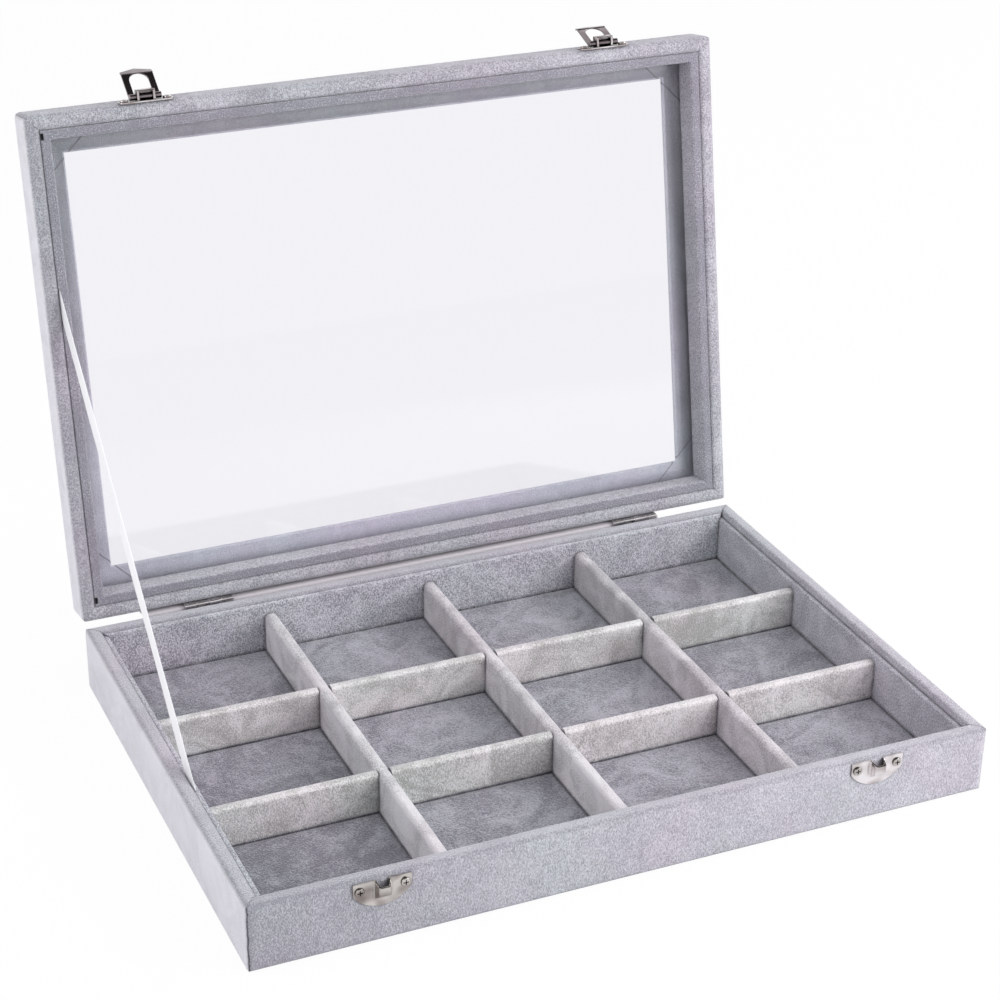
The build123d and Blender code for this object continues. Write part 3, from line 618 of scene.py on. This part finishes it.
satin, output = new_material("white satin ribbon")
tree = satin.node_tree
lay = add_node(tree, "ShaderNodeUVMap", uv_map="lay").outputs["UV"]
ribs = add_node(tree, "ShaderNodeTexWave", {
    "Vector": lay, "Scale": 1000 / RIB_MM / BANDS, "Distortion": 0.4, "Detail": 1.0},
    bands_direction="Y")
painted_gloss = add_node(tree, "ShaderNodeTexNoise", {"Vector": lay, "Scale": 1000 / GLOSS_MM, "Detail": 2.0})
white = add_node(tree, "ShaderNodeMix", {
    "Factor": painted_gloss.outputs["Fac"], 6: linear("FAFAFC"), 7: linear("FFFFFF")}, data_type="RGBA")
cords = add_node(tree, "ShaderNodeBump", {
    "Height": ribs.outputs["Fac"], "Strength": 0.25, "Distance": 0.0001})
shader = add_node(tree, "ShaderNodeBsdfPrincipled", {
    "Base Color": white.outputs[2], "Roughness": 0.42, "Normal": cords.outputs["Normal"],
    "Sheen Weight": 1.0, "Sheen Roughness": 0.3})
tree.links.new(shader.outputs[0], output.inputs["Surface"])
ribbon.data.materials.append(satin)
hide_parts("ribbon_stay")
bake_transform(ribbon)

# BACK CLOTH
# A strip of woven cloth glued to the backs of the base and the lid, over both hinges. It closes most
# of the gap between them.
CLOTH_FROM = -0.1450
CLOTH_TO = 0.1345
CLOTH_THICK = 0.0007
# The backs of the boards, and how much further out the cloth lies over a leaf and on the lid's back.
BACK = 0.1215
OVER_LEAF = 0.0012
ON_LID = 0.0003
# Distances from the hinge line: the cloth's edge, where it rises over the leaf, where it is on top of
# the leaf, and where it leaves the leaf for the barrel.
CLOTH_REACH = 0.0163
RISE = 0.0093
LEAF_END = 0.0078
BARREL = 0.00185
# The real threads are finer than a pixel, so these are drawn far coarser, to show.
THREAD_MM = 3.14


def opened(y, z):
    """Where a point of the shut lid is once the lid has turned open about the hinge line."""
    from_y = y - HINGE_Y
    from_z = z - HINGE_Z
    opened_y = HINGE_Y + from_y * cos(OPEN) + from_z * sin(OPEN)
    opened_z = HINGE_Z + from_z * cos(OPEN) - from_y * sin(OPEN)
    return opened_y, opened_z


def smooth_path(corners, rounds):
    """A smooth line through corner points.

    In each round every corner is cut off, a quarter of the way along the lines that meet there.
    """
    path = np.array(corners, float)
    for _ in range(rounds):
        middle = (path[:-1] + path[1:]) / 2
        cuts = np.stack([(path[:-1] + middle) / 2, (middle + path[1:]) / 2], 1).reshape(-1, 2)
        path = np.concatenate([path[:1], cuts, path[-1:]])
    return path


base_side = [(BACK, HINGE_Z - CLOTH_REACH), (BACK, HINGE_Z - RISE),
             (BACK + OVER_LEAF, HINGE_Z - LEAF_END), (BACK + OVER_LEAF, HINGE_Z - BARREL)]
lid_side = [opened(BACK + OVER_LEAF, HINGE_Z + BARREL), opened(BACK + OVER_LEAF, HINGE_Z + LEAF_END),
            opened(BACK + ON_LID, HINGE_Z + RISE), opened(BACK + ON_LID, HINGE_Z + CLOTH_REACH)]
inner_line = smooth_path(base_side + lid_side, 3)
heading = np.gradient(inner_line, axis=0)
heading /= np.linalg.norm(heading, axis=1)[:, None]
outward = np.stack([heading[:, 1], -heading[:, 0]], -1)
cloth_x = np.linspace(CLOTH_FROM, CLOTH_TO, 57)


def cloth_face(offset):
    """The cross section carried along X, moved off the inner line by an offset."""
    line = inner_line + outward * offset
    x, y = np.meshgrid(cloth_x, line[:, 0], indexing="ij")
    z = np.broadcast_to(line[:, 1], x.shape)
    return np.stack([x, y, z], -1)


stretch = np.concatenate([[0], np.cumsum(np.linalg.norm(np.diff(inner_line, axis=0), axis=1))])
cloth = slab("hinge_cloth", cloth_face(CLOTH_THICK), cloth_face(0.0),
             lay=np.stack(np.meshgrid(cloth_x, stretch, indexing="ij"), -1))
woven, output = new_material("fine woven cotton cloth")
tree = woven.node_tree
lay = add_node(tree, "ShaderNodeUVMap", uv_map="lay").outputs["UV"]
warp = add_node(tree, "ShaderNodeTexWave", {
    "Vector": lay, "Scale": 1000 / THREAD_MM / BANDS}, bands_direction="X")
weft = add_node(tree, "ShaderNodeTexWave", {
    "Vector": lay, "Scale": 1000 / THREAD_MM / BANDS}, bands_direction="Y")
threads = add_node(tree, "ShaderNodeMath", {
    0: warp.outputs["Fac"], 1: weft.outputs["Fac"]}, operation="MULTIPLY")
tint = add_node(tree, "ShaderNodeMix", {
    "Factor": threads.outputs[0], 6: linear("CEC8CD"), 7: linear("D4CED2")}, data_type="RGBA")
weave = add_node(tree, "ShaderNodeBump", {
    "Height": threads.outputs[0], "Strength": 0.3, "Distance": 0.0001})
shader = add_node(tree, "ShaderNodeBsdfPrincipled", {
    "Base Color": tint.outputs[2], "Roughness": 0.85, "Normal": weave.outputs["Normal"],
    "Sheen Weight": 0.3, "Sheen Roughness": 0.5})
tree.links.new(shader.outputs[0], output.inputs["Surface"])
cloth.data.materials.append(woven)
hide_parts("back_cloth")
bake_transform(cloth)

# TABLE AND BACKDROP
# A plain white paper sweep under the case. The camera sees it white, through the glass too, and metal
# mirrors half of that white. It keeps a soft shadow.
table_mesh = bpy.data.meshes.new("table")
table_mesh.from_pydata([(-2, -2.5, 0), (2, -2.5, 0), (2, 2, 0), (-2, 2, 0)], [], [(0, 1, 2, 3)])
table = bpy.data.objects.new("table", table_mesh)
bpy.context.scene.collection.objects.link(table)
sweep, output = new_material("white paper sweep")
tree = sweep.node_tree
WHITE = (1, 1, 1, 1)
# The share of plain white light. The rest is the paper, which carries the shadow.
PLAIN_SHARE = 0.96
matt = add_node(tree, "ShaderNodeBsdfDiffuse", {"Color": linear("EDEDEF")})
white_light = add_node(tree, "ShaderNodeEmission", {"Color": WHITE, "Strength": 1.0})
ray = add_node(tree, "ShaderNodeLightPath")
seen = add_node(tree, "ShaderNodeMath", {
    0: ray.outputs["Is Camera Ray"], 1: ray.outputs["Is Transmission Ray"]}, operation="MAXIMUM")
seen = add_node(tree, "ShaderNodeMath", {
    0: ray.outputs["Is Glossy Ray"], 1: 0.5, 2: seen.outputs[0]}, operation="MULTIPLY_ADD")
share = add_node(tree, "ShaderNodeMath", {0: seen.outputs[0], 1: PLAIN_SHARE}, operation="MULTIPLY")
mixed = add_node(tree, "ShaderNodeMixShader", {
    0: share.outputs[0], 1: matt.outputs[0], 2: white_light.outputs[0]})
tree.links.new(mixed.outputs[0], output.inputs["Surface"])
table_mesh.materials.append(sweep)

# The studio round it is white to the camera and behind glass, and dimmer as light. Metal mirrors a
# white room with a dark ceiling, from over the case to the front. The world isn't sampled as a lamp,
# because then metal would show it as dim as its light.
AMBIENT = 0.63
world = bpy.data.worlds.new("studio")
bpy.context.scene.world = world
world.use_nodes = True
world.cycles.sampling_method = "NONE"
tree = world.node_tree
tree.nodes.clear()
ray = add_node(tree, "ShaderNodeLightPath")
plain = add_node(tree, "ShaderNodeMath", {
    0: ray.outputs["Is Camera Ray"], 1: ray.outputs["Is Transmission Ray"]}, operation="MAXIMUM")
towards = add_node(tree, "ShaderNodeTexCoord").outputs["Generated"]
towards = add_node(tree, "ShaderNodeSeparateXYZ", {0: towards})
in_front = add_node(tree, "ShaderNodeMapRange", {
    "Value": towards.outputs["Y"], "From Min": 0.15, "From Max": 0.55, "To Min": 1.0, "To Max": 0.0})
overhead = add_node(tree, "ShaderNodeMapRange", {
    "Value": towards.outputs["Z"], "From Min": 0.5, "From Max": 0.8})
ceiling = add_node(tree, "ShaderNodeMath", {
    0: in_front.outputs["Result"], 1: overhead.outputs["Result"]}, operation="MULTIPLY")
room = add_node(tree, "ShaderNodeMix", {
    "Factor": ceiling.outputs[0], 6: WHITE, 7: linear("3A3838")}, data_type="RGBA")
dim = add_node(tree, "ShaderNodeBackground", {"Color": linear("F4F4F8"), "Strength": AMBIENT})
mirrored = add_node(tree, "ShaderNodeBackground", {"Color": room.outputs[2], "Strength": 1.0})
bright = add_node(tree, "ShaderNodeBackground", {"Color": WHITE, "Strength": 1.0})
mixed = add_node(tree, "ShaderNodeMixShader", {
    0: ray.outputs["Is Glossy Ray"], 1: dim.outputs[0], 2: mirrored.outputs[0]})
mixed = add_node(tree, "ShaderNodeMixShader", {
    0: plain.outputs[0], 1: mixed.outputs[0], 2: bright.outputs[0]})
add_node(tree, "ShaderNodeOutputWorld", {"Surface": mixed.outputs[0]})

# LIGHTS AND CAMERA
# Four soft boxes round the case. The two at the sides are mirrored in the metal, and the two in front
# light the velvet but are hidden from reflections and from the glass.
AIM = Vector((0, 0.04, 0.09))
# Each has a name, its turn from the front to the right and its rise in degrees, its distance and
# width in metres, its power in watts, and whether it is mirrored.
SOFT_BOXES = [
    ("left", -90, 25, 1.1, 0.5, 3.3, True),
    ("right", 90, 30, 2.0, 0.8, 17.0, True),
    ("front", 25, 40, 1.0, 0.5, 1.8, False),
    ("low front", 40, 20, 1.0, 0.5, 4.3, False),
]
for name, turn, rise, far, size, power, mirrored in SOFT_BOXES:
    lamp = bpy.data.lights.new("soft box " + name, "AREA")
    lamp.shape = "SQUARE"
    lamp.size = size
    lamp.energy = power
    box = bpy.data.objects.new("soft box " + name, lamp)
    box.visible_glossy = mirrored
    box.visible_transmission = mirrored
    bpy.context.scene.collection.objects.link(box)
    turn, rise = radians(turn), radians(rise)
    way = Vector((sin(turn) * cos(rise), -cos(turn) * cos(rise), sin(rise)))
    box.location = AIM + way * far
    box.rotation_euler = way.to_track_quat("Z", "Y").to_euler()

# The camera stands at the left front, above the rim. Its place, turn, lens and shift were worked out
# from the case's corners in the photograph.
camera_data = bpy.data.cameras.new("camera")
camera_data.sensor_width = 36.0
camera_data.lens = 86.3075
camera_data.shift_x = 0.04775
camera_data.shift_y = 0.02239
camera = bpy.data.objects.new("camera", camera_data)
camera.location = (-0.40235, -0.86702, 0.60359)
camera.rotation_euler = (1.096261, -0.003721, -0.399064)
bpy.context.scene.collection.objects.link(camera)
bpy.context.scene.camera = camera
bpy.context.scene.view_settings.view_transform = "Standard"
